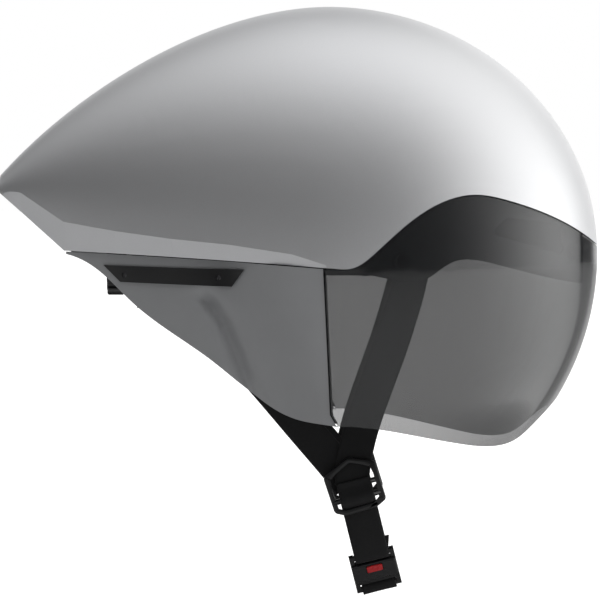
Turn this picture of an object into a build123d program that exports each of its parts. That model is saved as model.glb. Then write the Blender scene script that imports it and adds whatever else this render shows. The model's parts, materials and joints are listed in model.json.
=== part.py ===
from build123d import *
import os
from math import atan2, cos, degrees, exp, pi, radians, sin, sqrt

# An aero time trial helmet. X runs from the tail to the nose, Y from the wearer's
# right to the left, Z up. The origin is the middle of the head at brow level.

os.makedirs("parts", exist_ok=True)

# The outer form, measured from its widest section
nose_reach = 154.9
tail_reach = 187.8
widest_x = -10
axis_height = 5
crown_rise = 141.5
belly_drop = 157
half_width = 102
tail_top = 50
tail_height = 19
tail_half_width = 13.4

# Walls and layers
shell_wall = 2
visor_wall = 2.2
seam_gap = 0.8
running_gap = 0.3
overrun = 12
liner_lift = 1.5
brow_depth = 8
brow_wall = 1.6
brow_tuck = 3

# Shape of the sections: the crown is round and the cheeks are fuller
section_angles = (-90, -72, -50, -30, -14, -4, 10, 26, 45, 66, 90)
crown_power = 2 / 2.3
cheek_power = 2 / 4
tail_fall_power = 1.85
tail_end_power = 8
tail_end_share = 0.05
axis_lift_power = 1.5
tuck_power = 1.3
taper_power = 1.6
tail_shares = (-1, -0.93, -0.83, -0.7, -0.55, -0.4, -0.25, -0.12)
nose_angles = (0, 12, 24, 36, 47, 57, 66, 74, 81, 86)

# Side outlines, as shares of the form's length along X and of its crown rise along Z
tail_edge_shares = ((-0.584, 0.297), (-0.467, 0.052))
side_edge_shares = ((-0.467, 0.052), (-0.285, 0.033), (-0.033, -0.006))
front_edge_shares = ((-0.033, -0.006), (0.005, -0.009), (0.048, 0.056), (0.136, 0.228),
                     (0.205, 0.281), (0.268, 0.256), (0.366, 0.162), (0.438, 0.035))
seam_shares = ((-0.037, 0.05), (-0.0245, -0.587), (-0.014, -0.631))
visor_edge_shares = ((-0.014, -0.631), (0.1, -0.665), (0.19, -0.71), (0.241, -0.725),
                     (0.277, -0.71), (0.313, -0.643), (0.365, -0.519), (0.42, -0.37))
brow_edge_shares = ((-0.033, -0.036), (0.06, -0.046), (0.128, -0.054), (0.172, 0.013),
                    (0.25, 0.001), (0.354, -0.064), (0.42, -0.09))
panel_edge_shares = ((-0.464, 0.038), (-0.43, 0.008), (-0.35, -0.156), (-0.22, -0.378),
                     (-0.134, -0.542), (-0.082, -0.607), (-0.032, -0.627), (-0.014, -0.634))
lobe_edge_shares = ((-0.255, 0.14), (-0.25, -0.17), (-0.19, -0.39), (-0.15, -0.35),
                    (-0.128, -0.15), (-0.105, 0.14))
scoop_shares = ((0.236, 0.126), (0.264, 0.191), (0.36, 0.16), (0.36, 0.032))

# Bevel along the shell's lower side: place, crease, edge and depth of each station
bevel_shares = ((-0.59, 0.325, 0.295, 0.012), (-0.54, 0.283, 0.184, 0.03),
                (-0.467, 0.168, 0.052, 0.036), (-0.38, 0.134, 0.045, 0.036),
                (-0.285, 0.105, 0.033, 0.033), (-0.19, 0.084, 0.016, 0.028),
                (-0.088, 0.048, 0.007, 0.016), (-0.033, 0.006, -0.006, 0.002))

# Side panels
panel_wall = 2.2
panel_gap = 0.6
front_recess = 0.6
rear_recess = 8
valley_depth = 5.5
valley_half_width = 15
valley_top_share = -0.178
valley_lean_share = 0.377
standing_share = 0.72
panel_station_shares = (-0.475, -0.44, -0.4, -0.355, -0.305, -0.26, -0.225, -0.195, -0.168,
                        -0.142, -0.117, -0.09, -0.062, -0.034, -0.006)
panel_level_shares = (0.07, -0.02, -0.12, -0.23, -0.34, -0.45, -0.56, -0.66)

# Side plates and their screws
plate_wall = 1.2
plate_seat = 0.15
plate_shares = ((-0.4, -0.004), (-0.167, -0.016), (-0.187, -0.083), (-0.372, -0.07))
screw_shares = ((-0.365, -0.042), (-0.209, -0.048))
screw_radius = 1.4
screw_head_radius = 2.3
screw_head = 1
screw_length = 6

# Space for the head
head_half_length = 108
head_half_width = 81
head_height = 118
head_drop = 5
channel_depth = 9
channel_width = 16
channel_pitch = 38
channel_floor = 30
channel_reach = 85
lobe_inset = 15
scoop_depth = 7
scoop_rounding = 2.5

# Magnets that hold the visor
magnet_radius = 4
magnet_height = 1.4
magnet_boss_radius = 5.5
magnet_shares = ((0.09, 0.02), (0.375, 0.05))

# Pads
pad_thickness = 5
brow_pad_floor = 3
brow_pad_width = 18
brow_pad_back = 58
crown_pad_length = 70
crown_pad_width = 24
side_pad_length = 46
side_pad_width = 16

# Straps
webbing_width = 20
webbing_thickness = 1.4
front_strap_shares = ((0.112, 0.18), (0.112, 0.113), (0.1065, -0.042), (0.079, -0.283),
                      (0.041, -0.544), (0.0175, -0.735), (0.008, -0.92))
rear_strap_shares = ((-0.24, -0.195), (-0.215, -0.25), (-0.133, -0.475), (-0.016, -0.808),
                     (0.012, -0.91))
anchor_radius = 3
anchor_head_radius = 6
anchor_head = 1.2
anchor_depth = 5

# Strap dividers
divider_place_share = (0.0134, -0.8806)
divider_shares = ((0, 1), (0.92, 0.66), (1, -0.75), (0.6, -0.95), (-0.52, -1),
                  (-0.9, -0.82), (-1, 0.5))
divider_side = 54
divider_tilt = 14
divider_thickness = 2.6
divider_half_width = 16
divider_half_height = 16
divider_rim = 3
bar_radius = 1.7
bar_half_length = 12.5

# Chin strap and buckle
chin_turn = 24
chin_run = 5
chin_bend = 55
chin_sag = 8
buckle_width = 26
buckle_length = 14.5
buckle_thickness = 8
buckle_rounding = 1.6
buckle_arm = 2.6
tongue_width = 16
tongue_depth = 5.5
tongue_thickness = 2.2
tongue_play = 0.6
tongue_shoulder = 2
button_length = 3.6
button_width = 9
button_proud = 0.8
button_height = 1.8
button_travel = 1

# Fit system at the back of the head
ring_height = 0
yoke_front = -117
dial_radius = 19
dial_height = 9
dial_flutes = 16
flute_radius = 2.2
knob_gap = 0.5
pinion_teeth = 10
pinion_pitch_radius = 4
tooth_height = 0.75
tooth_clearance = 0.35
tooth_backlash = 0.3
tooth_slope = 20
pinion_length = 3.6
shaft_radius = 2.2
yoke_half_width = 26
yoke_half_height = 12
yoke_depth = 8
yoke_wall = 2
yoke_cover = 2
lobe_radius = 13
lobe_pitch = 16
lobe_drop = 13
rack_depth = 3.4
rack_height = 4
rack_tip = 3
arm_thickness = 1.6
arm_height = 11
arm_start = 22
arm_travel = 8
arm_shares = ((-0.3, 0.405), (-0.256, 0.465), (-0.175, 0.63), (-0.08, 0.745), (0.012, 0.765))
arm_pivot_share = 0.0315
eyelet_radius = 6
pin_radius = 2
pin_head = 1.5
pin_head_radius = 3.6
pin_seat = 5
nape_pad_thickness = 4
nape_pad_margin = 1.5

# Rear pocket in the liner, round the fit system
pocket_front = -98
pocket_back = -141
pocket_half_width = 44
pocket_top = 27
relief_front = -80
relief_half_width = 56
relief_top = 13

form_length = nose_reach + tail_reach


def at(point, lift=0):
    """A place in the side view from its shares of length and rise."""
    return (point[0] * form_length, point[1] * crown_rise + lift)


def section_sizes(share, inset):
    """Place, top, middle, bottom and half width of one section of the form."""
    crown = axis_height + crown_rise
    belly = axis_height - belly_drop
    if share >= 0:
        rest = sqrt(max(0, 1 - share * share))
        return (widest_x + (nose_reach - inset) * share,
                axis_height + (crown_rise - inset) * rest, axis_height,
                axis_height - (belly_drop - inset) * rest, (half_width - inset) * rest)
    back = -share
    fall = (1 - tail_end_share) * back**tail_fall_power + tail_end_share * back**tail_end_power
    tail_bottom = tail_top - tail_height
    return (widest_x - (tail_reach - inset) * back,
            crown - (crown - tail_top) * fall - inset,
            axis_height + ((tail_top + tail_bottom) / 2 - axis_height) * back**axis_lift_power,
            belly + (tail_bottom - belly) * back**tuck_power + inset,
            half_width - (half_width - tail_half_width) * back**taper_power - inset)


def side_width(x, z, inset=0):
    """Half width of the form at a place in the side view."""
    reach = nose_reach if x >= widest_x else tail_reach
    share = max(-1, min(1, (x - widest_x) / (reach - inset)))
    place, top, middle, bottom, width = section_sizes(share, inset)
    if z >= middle:
        level, power = min(1, (z - middle) / (top - middle)), crown_power
    else:
        level, power = min(1, (middle - z) / (middle - bottom)), cheek_power
    return width * sqrt(max(0, 1 - level ** (2 / power)))


def form_section(share, inset):
    """One smooth closed section of the form."""
    x, top, middle, bottom, width = section_sizes(share, inset)
    side = []
    for angle in section_angles[1:-1]:
        rise = sin(radians(angle))
        if rise >= 0:
            height = middle + (top - middle) * rise**crown_power
        else:
            height = middle - (middle - bottom) * (-rise) ** cheek_power
        side.append((width * cos(radians(angle)), height))
    points = [(0, bottom), *side, (0, top), *((-y, z) for y, z in reversed(side))]
    with BuildSketch(Plane(origin=(x, 0, 0), x_dir=(0, 1, 0), z_dir=(1, 0, 0))) as section:
        with BuildLine():
            Spline(*points, periodic=True)
        make_face()
    return section.sketch


def form(inset, back=len(tail_shares)):
    """The whole form, or its front with a few sections behind the widest one."""
    shares = [*tail_shares[len(tail_shares) - back:], *(sin(radians(a)) for a in nose_angles)]
    sections = [form_section(share, inset) for share in shares]
    with BuildPart() as body:
        loft(sections=[*sections, Vertex(widest_x + nose_reach - inset, 0, axis_height)])
    return body.part


def side_block(area, half_depth=None):
    """A side-view area run through the whole width."""
    with BuildPart() as block:
        extrude(area, amount=half_depth or half_width + overrun, both=True)
    return block.part


def shell_area(lift=0):
    """Side view of the outer shell: all above its lower edge."""
    tail = [at(point, lift) for point in tail_edge_shares]
    side = [at(point, lift) for point in side_edge_shares]
    front = [at(point, lift) for point in front_edge_shares]
    roof = crown_rise + 2 * overrun
    with BuildSketch(Plane.XZ) as area:
        with BuildLine():
            Line(tail[0], tail[1])
            Spline(*side)
            Spline(*front, tangents=((1, 0), (1, -1)), tangent_scalars=(1, 1))
            Polyline(front[-1], (front[-1][0], roof), (tail[0][0], roof), tail[0])
        make_face()
    return area.sketch


def visor_area(back=0):
    """Side view of the visor, below the shell's front edge."""
    seam = [(x - back, z) for x, z in (at(point) for point in seam_shares)]
    edge = [(x - back, z) for x, z in (at(point) for point in visor_edge_shares)]
    with BuildSketch(Plane.XZ) as area:
        with BuildLine():
            Polyline(*seam)
            Spline(*edge)
            Polyline(edge[-1], (edge[-1][0] + overrun, edge[-1][1]),
                     (edge[-1][0] + overrun, crown_rise / 2), (seam[0][0], crown_rise / 2),
                     seam[0])
        make_face()
    return area.sketch


def brow_area(lift=0):
    """Side view of the brow, open upwards."""
    edge = [at(point, lift) for point in brow_edge_shares]
    with BuildSketch(Plane.XZ) as area:
        with BuildLine():
            Spline(*edge)
            Polyline(edge[-1], (edge[-1][0], crown_rise / 2), (edge[0][0], crown_rise / 2),
                     edge[0])
        make_face()
    return area.sketch


def bevel(inset):
    """The wedges that the bevel takes off both lower sides."""
    sections = []
    for x_share, crease_share, edge_share, depth_share in bevel_shares:
        x, crease = at((x_share, crease_share))
        edge = edge_share * crown_rise
        inner = side_width(x, crease) - inset
        outer = side_width(x, edge) - depth_share * crown_rise - inset
        slope = (inner - outer) / (crease - edge)
        low = edge - overrun
        section_plane = Plane(origin=(x, 0, 0), x_dir=(0, 1, 0), z_dir=(1, 0, 0))
        with BuildSketch(section_plane) as section:
            with BuildLine():
                Polyline((inner, crease), (inner - slope * (crease - low), low),
                         (inner + overrun, low), (inner + overrun, crease), close=True)
            make_face()
        sections.append(section.sketch)
    with BuildPart() as wedge:
        loft(sections=sections, ruled=True)
        mirror(about=Plane.XZ)
    return wedge.part


def panel_recess(x, z):
    """How far the side panel lies inside the form: a valley runs down and forwards."""
    middle = valley_top_share * form_length - valley_lean_share * z
    across = (x - middle) / valley_half_width
    behind = 1 / (1 + exp(2 * across))
    return front_recess + (rear_recess - front_recess) * behind + valley_depth * exp(-across**2)


def section_floor(x):
    """The lowest level at which the form's side still stands at x."""
    share = max(-1, min(1, (x - widest_x) / (nose_reach if x >= widest_x else tail_reach)))
    place, top, middle, bottom, width = section_sizes(share, 0)
    return middle - standing_share * (middle - bottom)


def panel_side(x, z):
    """Half width of the helmet at the face of its side panel."""
    form_side = max(side_width(x, max(z, section_floor(x))), tail_half_width)
    return form_side - panel_recess(x, z)


def panel_sheet(outer, thickness):
    """A thin sheet on the right side that follows the panel's surface."""
    sections = []
    for share in panel_station_shares:
        x = share * form_length
        face = []
        for level in panel_level_shares:
            z = level * crown_rise
            face.append((-(panel_side(x, z) + outer), z))
        back = [(y + thickness, z) for y, z in face]
        with BuildSketch(Plane(origin=(x, 0, 0), x_dir=(0, 1, 0), z_dir=(1, 0, 0))) as section:
            with BuildLine():
                Spline(*face)
                Line(face[-1], back[-1])
                Spline(*back)
                Line(face[0], back[0])
            make_face()
        sections.append(section.sketch)
    with BuildPart() as sheet:
        loft(sections=sections)
    return sheet.part


def surface_plane(width_at, x, z, side, out=0):
    """A plane on a side surface, given by its half width, that looks outwards."""
    step = shell_wall
    slope_x = (width_at(x + step, z) - width_at(x - step, z)) / (2 * step)
    slope_z = (width_at(x, z + step) - width_at(x, z - step)) / (2 * step)
    return Plane(origin=(x, side * (width_at(x, z) + out), z), z_dir=(-slope_x, side, -slope_z))


def brow_side(x, z):
    """Half width of the helmet at the face of the brow shell."""
    return side_width(x, z, brow_depth)


def keep(part, name):
    part.label = name
    export_step(part, f"parts/{name}.step")
    print(name, round(part.volume), len(part.solids()))


def panel_area():
    """Side view of the side panel, open upwards and forwards."""
    edge = [at(point) for point in panel_edge_shares]
    with BuildSketch(Plane.XZ) as area:
        with BuildLine():
            Spline(*edge)
            Polyline(edge[-1], (edge[-1][0], overrun), (edge[0][0], overrun), edge[0])
        make_face()
    return area.sketch


def plate_area():
    """Side view of the narrow plate under the shell's edge."""
    with BuildSketch(Plane.XZ) as area:
        with BuildLine():
            Polyline(*(at(point) for point in plate_shares), close=True)
        make_face()
    return area.sketch


def lobe_area():
    """Side view of the liner's lobe behind the ear."""
    edge = [at(point) for point in lobe_edge_shares]
    with BuildSketch(Plane.XZ) as area:
        with BuildLine():
            Spline(*edge)
            Line(edge[-1], edge[0])
        make_face()
    return area.sketch


def scoop_area():
    """Side view of the air scoop in the brow."""
    with BuildSketch(Plane.XZ) as area:
        with BuildLine():
            Polyline(*(at(point) for point in scoop_shares), close=True)
        make_face()
        fillet(area.vertices(), radius=scoop_rounding)
    return area.sketch


def head_space(inset):
    """The egg-shaped space for the head, drawn in by an inset."""
    with BuildPart() as egg:
        Sphere(1)
        scale(by=(head_half_length - inset, head_half_width - inset, head_height - inset))
    return egg.part.moved(Location((0, 0, -head_drop)))


def side_of_head(x, z):
    """Half width of the space for the head at a place in the side view."""
    along = (x / head_half_length) ** 2
    up = ((z + head_drop) / head_height) ** 2
    return head_half_width * sqrt(max(0, 1 - along - up))


# Frame of the strap dividers and of the chin strap, tilted as they hang
divider_x, divider_z = at(divider_place_share)
strap_across = (cos(radians(divider_tilt)), 0, sin(radians(divider_tilt)))
loop_inner = bar_radius + running_gap
loop_middle = loop_inner + webbing_thickness / 2
loop_outer = loop_inner + webbing_thickness
bar_height = loop_outer - divider_half_height


def divider_plane(y):
    return Plane(origin=(divider_x, y, divider_z), x_dir=strap_across, z_dir=(0, -1, 0))


def flat_strap(centre, plane, stretch):
    """Webbing that lies flat in a plane, along a centre line in the side view."""
    with BuildPart() as strap:
        with BuildSketch(plane):
            with BuildLine() as line:
                Spline(*((x, z * stretch) for x, z in centre))
            trace(lines=line.edges(), line_width=webbing_width)
        extrude(amount=webbing_thickness / 2, both=True)
    return strap.part


def leaning_plane(low_side, low, lean):
    """A plane along X that leans outwards above a low place on the right side."""
    return Plane(origin=(0, -low_side + low * sin(lean) / cos(lean), 0),
                 x_dir=(1, 0, 0), z_dir=(0, -cos(lean), -sin(lean)))


# Side panels, plates and screws
screw_places = [at(point) for point in screw_shares]


def screw_plane(x, z, side):
    """Where a screw head sits on its plate."""
    return surface_plane(panel_side, x, z, side, plate_seat + plate_wall)


def screw_holes(body):
    """A body of the right side with clearance holes for its two screws."""
    with BuildPart() as holed:
        add(body)
        for x, z in screw_places:
            with BuildSketch(screw_plane(x, z, -1)):
                Circle(screw_radius + plate_seat)
            extrude(amount=screw_length, both=True, mode=Mode.SUBTRACT)
    return holed.part


with BuildPart() as panel:
    add(panel_sheet(0, panel_wall))
    add(side_block(panel_area()), mode=Mode.INTERSECT)
    add(side_block(visor_area(seam_gap)), mode=Mode.SUBTRACT)
    add(side_block(shell_area(-panel_gap)), mode=Mode.SUBTRACT)
lower_shell_right = screw_holes(panel.part)
keep(lower_shell_right, "lower_shell_right")
keep(lower_shell_right.mirror(Plane.XZ), "lower_shell_left")

with BuildPart() as plate:
    add(panel_sheet(plate_seat + plate_wall, plate_wall))
    add(side_block(plate_area()), mode=Mode.INTERSECT)
side_plate_right = screw_holes(plate.part)
keep(side_plate_right, "side_plate_right")
keep(side_plate_right.mirror(Plane.XZ), "side_plate_left")

with BuildPart() as plate_screws:
    for x, z in screw_places:
        seat_plane = screw_plane(x, z, -1).offset(plate_seat / 2)
        with BuildSketch(seat_plane):
            Circle(screw_head_radius)
        extrude(amount=screw_head)
        with BuildSketch(seat_plane):
            Circle(screw_radius)
        extrude(amount=-screw_length)
    mirror(about=Plane.XZ)
keep(plate_screws.part, "plate_screws")

# Pads inside the head space
pad_outside = head_space(running_gap)
pad_inside = head_space(running_gap + pad_thickness)
with BuildPart() as brow_pad:
    add(pad_outside)
    add(pad_inside, mode=Mode.SUBTRACT)
    with BuildSketch(Plane.XY.offset(brow_pad_floor)):
        with Locations((head_half_length, 0)):
            Rectangle(2 * (head_half_length - brow_pad_back), 2 * head_half_width)
    extrude(amount=brow_pad_width, mode=Mode.INTERSECT)
keep(brow_pad.part, "brow_pad")

with BuildPart() as crown_pads:
    add(pad_outside)
    add(pad_inside, mode=Mode.SUBTRACT)
    with BuildSketch(Plane.XY):
        Rectangle(crown_pad_length, crown_pad_width)
        with Locations((0, channel_pitch), (0, -channel_pitch)):
            Rectangle(side_pad_length, side_pad_width)
    extrude(amount=head_height, mode=Mode.INTERSECT)
keep(crown_pads.part, "crown_pads")

# Straps of the right side, mirrored for the left
front_line = [at(point) for point in front_strap_shares]
rear_line = [at(point) for point in rear_strap_shares]
strap_seat = running_gap + webbing_thickness / 2
strap_low = divider_z - divider_half_height
strap_meet = divider_z + 2 * divider_half_height
front_side = side_of_head(front_line[0][0] + webbing_width / 2, front_line[0][1]) - strap_seat
rear_side = side_of_head(*rear_line[0]) - strap_seat
rear_low_side = divider_side - divider_thickness / 2 - strap_seat
rear_lean = atan2(rear_side - rear_low_side, rear_line[0][1] - strap_low)
rear_meet_side = rear_low_side + (strap_meet - strap_low) * sin(rear_lean) / cos(rear_lean)
front_low_side = rear_meet_side - webbing_thickness - 3 * running_gap
front_lean = atan2(front_side - front_low_side, front_line[0][1] - strap_meet)
front_plane = leaning_plane(front_low_side, strap_meet, front_lean)
rear_plane = leaning_plane(rear_low_side, strap_low, rear_lean)
anchor_places = [(front_line[1], front_plane, front_lean), (rear_line[1], rear_plane, rear_lean)]


def anchor_bolts(radius):
    """A round bolt through each strap anchor's place, on both sides."""
    with BuildPart() as bolts:
        for (x, z), plane, lean in anchor_places:
            with BuildSketch(plane):
                with Locations((x, z / cos(lean))):
                    Circle(radius)
            extrude(amount=anchor_depth + webbing_thickness, both=True)
        mirror(about=Plane.XZ)
    return bolts.part


anchor_bores = anchor_bolts(anchor_radius + running_gap)
for line, plane, lean, name in ((front_line, front_plane, front_lean, "front_strap"),
                                (rear_line, rear_plane, rear_lean, "rear_strap")):
    with BuildPart() as strap:
        add(flat_strap(line, plane, 1 / cos(lean)))
        add(anchor_bores, mode=Mode.SUBTRACT)
    keep(strap.part, f"{name}_right")
    keep(strap.part.mirror(Plane.XZ), f"{name}_left")

with BuildPart() as strap_anchors:
    for (x, z), plane, lean in anchor_places:
        seat_plane = plane.offset(-strap_seat)
        with BuildSketch(seat_plane):
            with Locations((x, z / cos(lean))):
                Circle(anchor_radius)
        extrude(amount=anchor_depth + webbing_thickness)
        with BuildSketch(seat_plane):
            with Locations((x, z / cos(lean))):
                Circle(anchor_head_radius)
        extrude(amount=-anchor_head)
    mirror(about=Plane.XZ)
keep(strap_anchors.part, "strap_anchors")

# Strap dividers: a seven-sided ring with a round bar for the chin strap
chin_plane = Plane(origin=(divider_x, 0, divider_z), x_dir=(0, 1, 0), z_dir=strap_across)
with BuildPart() as divider:
    with BuildSketch(divider_plane(-divider_side)) as ring:
        with BuildLine():
            Polyline(*((u * divider_half_width, v * divider_half_height)
                       for u, v in divider_shares), close=True)
        make_face()
        fillet(ring.vertices(), radius=divider_rim / 2)
        offset(amount=-divider_rim, mode=Mode.SUBTRACT)
    extrude(amount=divider_thickness / 2, both=True)
    with BuildSketch(divider_plane(-divider_side)):
        with Locations((0, bar_height - divider_rim)):
            Rectangle(webbing_width + 4 * running_gap,
                      2 * (loop_outer + running_gap + divider_rim))
    extrude(amount=divider_thickness, both=True, mode=Mode.SUBTRACT)
    with BuildSketch(chin_plane):
        with Locations((-divider_side, bar_height)):
            Circle(bar_radius)
    extrude(amount=bar_half_length, both=True)
keep(divider.part, "strap_divider_right")
keep(divider.part.mirror(Plane.XZ), "strap_divider_left")

# Chin strap of the right side, from the divider's bar to the buckle's bar
turn = radians(chin_turn)
chin_top = (loop_middle - divider_side, bar_height)
chin_knee = (chin_top[0], chin_top[1] - chin_run)
chin_end = (chin_knee[0] + chin_bend * (1 - cos(turn)), chin_knee[1] - chin_bend * sin(turn))
buckle_bar = (chin_end[0] - loop_middle * cos(turn), chin_end[1] - loop_middle * sin(turn))
with BuildPart() as chin_strap_right:
    with BuildSketch(chin_plane):
        with BuildLine() as line:
            Line(chin_top, chin_knee)
            CenterArc((chin_knee[0] + chin_bend, chin_knee[1]), chin_bend, 180, chin_turn)
        trace(lines=line.edges(), line_width=webbing_thickness)
        with Locations((-divider_side, bar_height), buckle_bar):
            Circle(loop_outer)
            Circle(loop_inner, mode=Mode.SUBTRACT)
    extrude(amount=webbing_width / 2, both=True)
keep(chin_strap_right.part, "chin_strap_right")

# Buckle on its own plane: X across, Y along the buckle away from its bar, Z to the chin
buckle_along = Vector(-sin(radians(divider_tilt)) * -cos(turn), sin(turn),
                      cos(radians(divider_tilt)) * -cos(turn))
buckle_normal = Vector(*strap_across).cross(buckle_along)
bar_origin = chin_plane.from_local_coords(buckle_bar)
buckle_plane = Plane(origin=bar_origin, x_dir=strap_across, z_dir=buckle_normal)
bar_plane = Plane(origin=bar_origin, x_dir=buckle_along, z_dir=strap_across)
window_end = loop_outer + running_gap
body_length = buckle_length - window_end
button_middle = window_end + body_length / 2 - tongue_depth / 4 - button_length / 4
button_floor = button_height - button_proud + button_travel + running_gap
arm_middle = (buckle_width - buckle_arm) / 2

with BuildPart() as buckle_housing:
    with BuildSketch(buckle_plane):
        with Locations((0, window_end + body_length / 2)):
            Rectangle(buckle_width, body_length)
    extrude(amount=buckle_thickness / 2, both=True)
    fillet(buckle_housing.edges(), radius=buckle_rounding)
    with BuildSketch(buckle_plane):
        with Locations((arm_middle, window_end / 2), (-arm_middle, window_end / 2)):
            Rectangle(buckle_arm, window_end + 2 * buckle_rounding)
    extrude(amount=bar_radius, both=True)
    with BuildSketch(bar_plane):
        Circle(bar_radius)
    extrude(amount=buckle_width / 2, both=True)
    with BuildSketch(buckle_plane):
        with Locations((0, buckle_length - tongue_depth / 2)):
            Rectangle(tongue_width + 2 * tongue_play, tongue_depth + 2 * tongue_play)
    extrude(amount=tongue_thickness / 2 + tongue_play, both=True, mode=Mode.SUBTRACT)
    with BuildSketch(buckle_plane.offset(-buckle_thickness / 2)):
        with Locations((0, button_middle)):
            Rectangle(button_width + 2 * running_gap, button_length + 2 * running_gap)
    extrude(amount=button_floor, mode=Mode.SUBTRACT)
keep(buckle_housing.part, "buckle_housing")

with BuildPart() as release_button:
    with BuildSketch(buckle_plane.offset(-buckle_thickness / 2 - button_proud)):
        with Locations((0, button_middle)):
            Rectangle(button_width, button_length)
    extrude(amount=button_height)
    fillet(release_button.edges().filter_by(lambda e: abs(e.tangent_at(0).dot(buckle_normal)) > 0.9),
           radius=button_proud)
keep(release_button.part, "release_button")

# Tongue: it enters the buckle and carries the left chin strap on its own bar
shoulder_start = buckle_length + running_gap
tongue_bar = shoulder_start + tongue_shoulder + window_end
with BuildPart() as buckle_tongue:
    with BuildSketch(buckle_plane):
        with Locations((0, buckle_length - tongue_depth / 2 + tongue_shoulder / 2)):
            Rectangle(tongue_width, tongue_depth + tongue_shoulder)
    extrude(amount=tongue_thickness / 2, both=True)
    with BuildSketch(buckle_plane):
        with Locations((0, shoulder_start + tongue_shoulder / 2)):
            Rectangle(buckle_width, tongue_shoulder)
        with Locations((arm_middle, shoulder_start + (tongue_shoulder + window_end) / 2),
                       (-arm_middle, shoulder_start + (tongue_shoulder + window_end) / 2)):
            Rectangle(buckle_arm, tongue_shoulder + window_end)
    extrude(amount=bar_radius, both=True)
    with BuildSketch(bar_plane):
        with Locations((tongue_bar, 0)):
            Circle(bar_radius)
    extrude(amount=buckle_width / 2, both=True)
keep(buckle_tongue.part, "buckle_tongue")

# Chin strap of the left side: it sags from the divider's bar to the tongue's bar
tongue_end = (buckle_bar[0] + tongue_bar * sin(turn), buckle_bar[1] - tongue_bar * cos(turn))
span = Vector(divider_side - tongue_end[0], bar_height - tongue_end[1])
under = Vector(span.Y, -span.X).normalized() * loop_middle
low_start = Vector(*tongue_end) + under
low_finish = Vector(divider_side, bar_height) + under
low_middle = (low_start + low_finish) / 2 + under.normalized() * chin_sag
with BuildPart() as chin_strap_left:
    with BuildSketch(chin_plane):
        with BuildLine() as line:
            ThreePointArc(low_start, low_middle, low_finish)
        trace(lines=line.edges(), line_width=webbing_thickness)
        with Locations((divider_side, bar_height), tongue_end):
            Circle(loop_outer)
            Circle(loop_inner, mode=Mode.SUBTRACT)
    extrude(amount=webbing_width / 2, both=True)
keep(chin_strap_left.part, "chin_strap_left")

# Yoke of the fit system: a channel for the racks, with two lobes for the nape pads
yoke_back = yoke_front - yoke_depth
cover_back = yoke_back - yoke_cover
rack_front = yoke_front - yoke_wall - running_gap * 2
ring_plane = Plane(origin=(0, 0, ring_height), x_dir=(0, 1, 0), z_dir=(-1, 0, 0))
lobe_places = [(-lobe_pitch, lobe_drop), (lobe_pitch, lobe_drop)]
slot_half_height = (pinion_pitch_radius + tooth_height + tooth_clearance + rack_height
                    + running_gap)
with BuildPart() as cradle_yoke:
    with BuildSketch(ring_plane.offset(-yoke_front)):
        SlotOverall(2 * yoke_half_width, 2 * yoke_half_height)
        with Locations(*lobe_places):
            Circle(lobe_radius)
    extrude(amount=yoke_wall)
    with BuildSketch(ring_plane.offset(-yoke_front)):
        SlotOverall(2 * yoke_half_width, 2 * yoke_half_height)
    extrude(amount=yoke_depth)
    with BuildSketch(ring_plane.offset(yoke_wall - yoke_front)):
        Rectangle(2 * (yoke_half_width + overrun), 2 * slot_half_height)
    extrude(amount=yoke_depth, mode=Mode.SUBTRACT)
keep(cradle_yoke.part, "cradle_yoke")

with BuildPart() as yoke_cover_plate:
    with BuildSketch(ring_plane.offset(-yoke_back)):
        SlotOverall(2 * yoke_half_width, 2 * yoke_half_height)
        Circle(shaft_radius + running_gap, mode=Mode.SUBTRACT)
    extrude(amount=yoke_cover)
    chamfer(yoke_cover_plate.edges().group_by(Axis.X)[0].sort_by(SortBy.LENGTH)[1:],
            length=yoke_cover / 3)
keep(yoke_cover_plate.part, "yoke_cover")

with BuildPart() as nape_pads:
    with BuildSketch(ring_plane.offset(-yoke_front)):
        with Locations(*lobe_places):
            Circle(lobe_radius - nape_pad_margin)
    extrude(amount=-nape_pad_thickness)
    chamfer(nape_pads.edges().group_by(Axis.X)[-1], length=nape_pad_thickness / 3)
keep(nape_pads.part, "nape_pads")

# Fit dial with its shaft, and the pinion that it turns
knob_front = cover_back - knob_gap
with BuildPart() as fit_dial:
    with BuildSketch(ring_plane.offset(-knob_front)):
        Circle(dial_radius)
        with PolarLocations(dial_radius, dial_flutes):
            Circle(flute_radius, mode=Mode.SUBTRACT)
    extrude(amount=dial_height)
    chamfer(fit_dial.faces().sort_by(Axis.X)[0].edges(), length=flute_radius / 3)
    with BuildSketch(ring_plane.offset(dial_height - knob_front)):
        Circle(dial_radius / 2)
    extrude(amount=-dial_height / 4, mode=Mode.SUBTRACT)
    with BuildSketch(ring_plane.offset(-knob_front)):
        Circle(shaft_radius)
    extrude(amount=-(knob_gap + yoke_cover + running_gap))
keep(fit_dial.part, "fit_dial")

tooth_pitch = 2 * pi * pinion_pitch_radius / pinion_teeth
tooth_half = (tooth_pitch / 2 - tooth_backlash) / 2
tooth_lean = tooth_height * sin(radians(tooth_slope)) / cos(radians(tooth_slope))
pinion_root = pinion_pitch_radius - tooth_height - tooth_clearance
pinion_start = rack_front - (rack_depth - pinion_length) / 2
with BuildPart() as dial_pinion:
    with BuildSketch(ring_plane.offset(-pinion_start)):
        Circle(pinion_root)
        with PolarLocations(0, pinion_teeth, start_angle=90):
            with Locations((pinion_pitch_radius, 0)):
                Polygon((-tooth_height - 2 * tooth_clearance, tooth_half + tooth_lean),
                        (-tooth_height - 2 * tooth_clearance, -tooth_half - tooth_lean),
                        (0, -tooth_half), (tooth_height, -tooth_half + tooth_lean),
                        (tooth_height, tooth_half - tooth_lean), (0, tooth_half), align=None)
    extrude(amount=pinion_length)
keep(dial_pinion.part, "dial_pinion")

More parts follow.
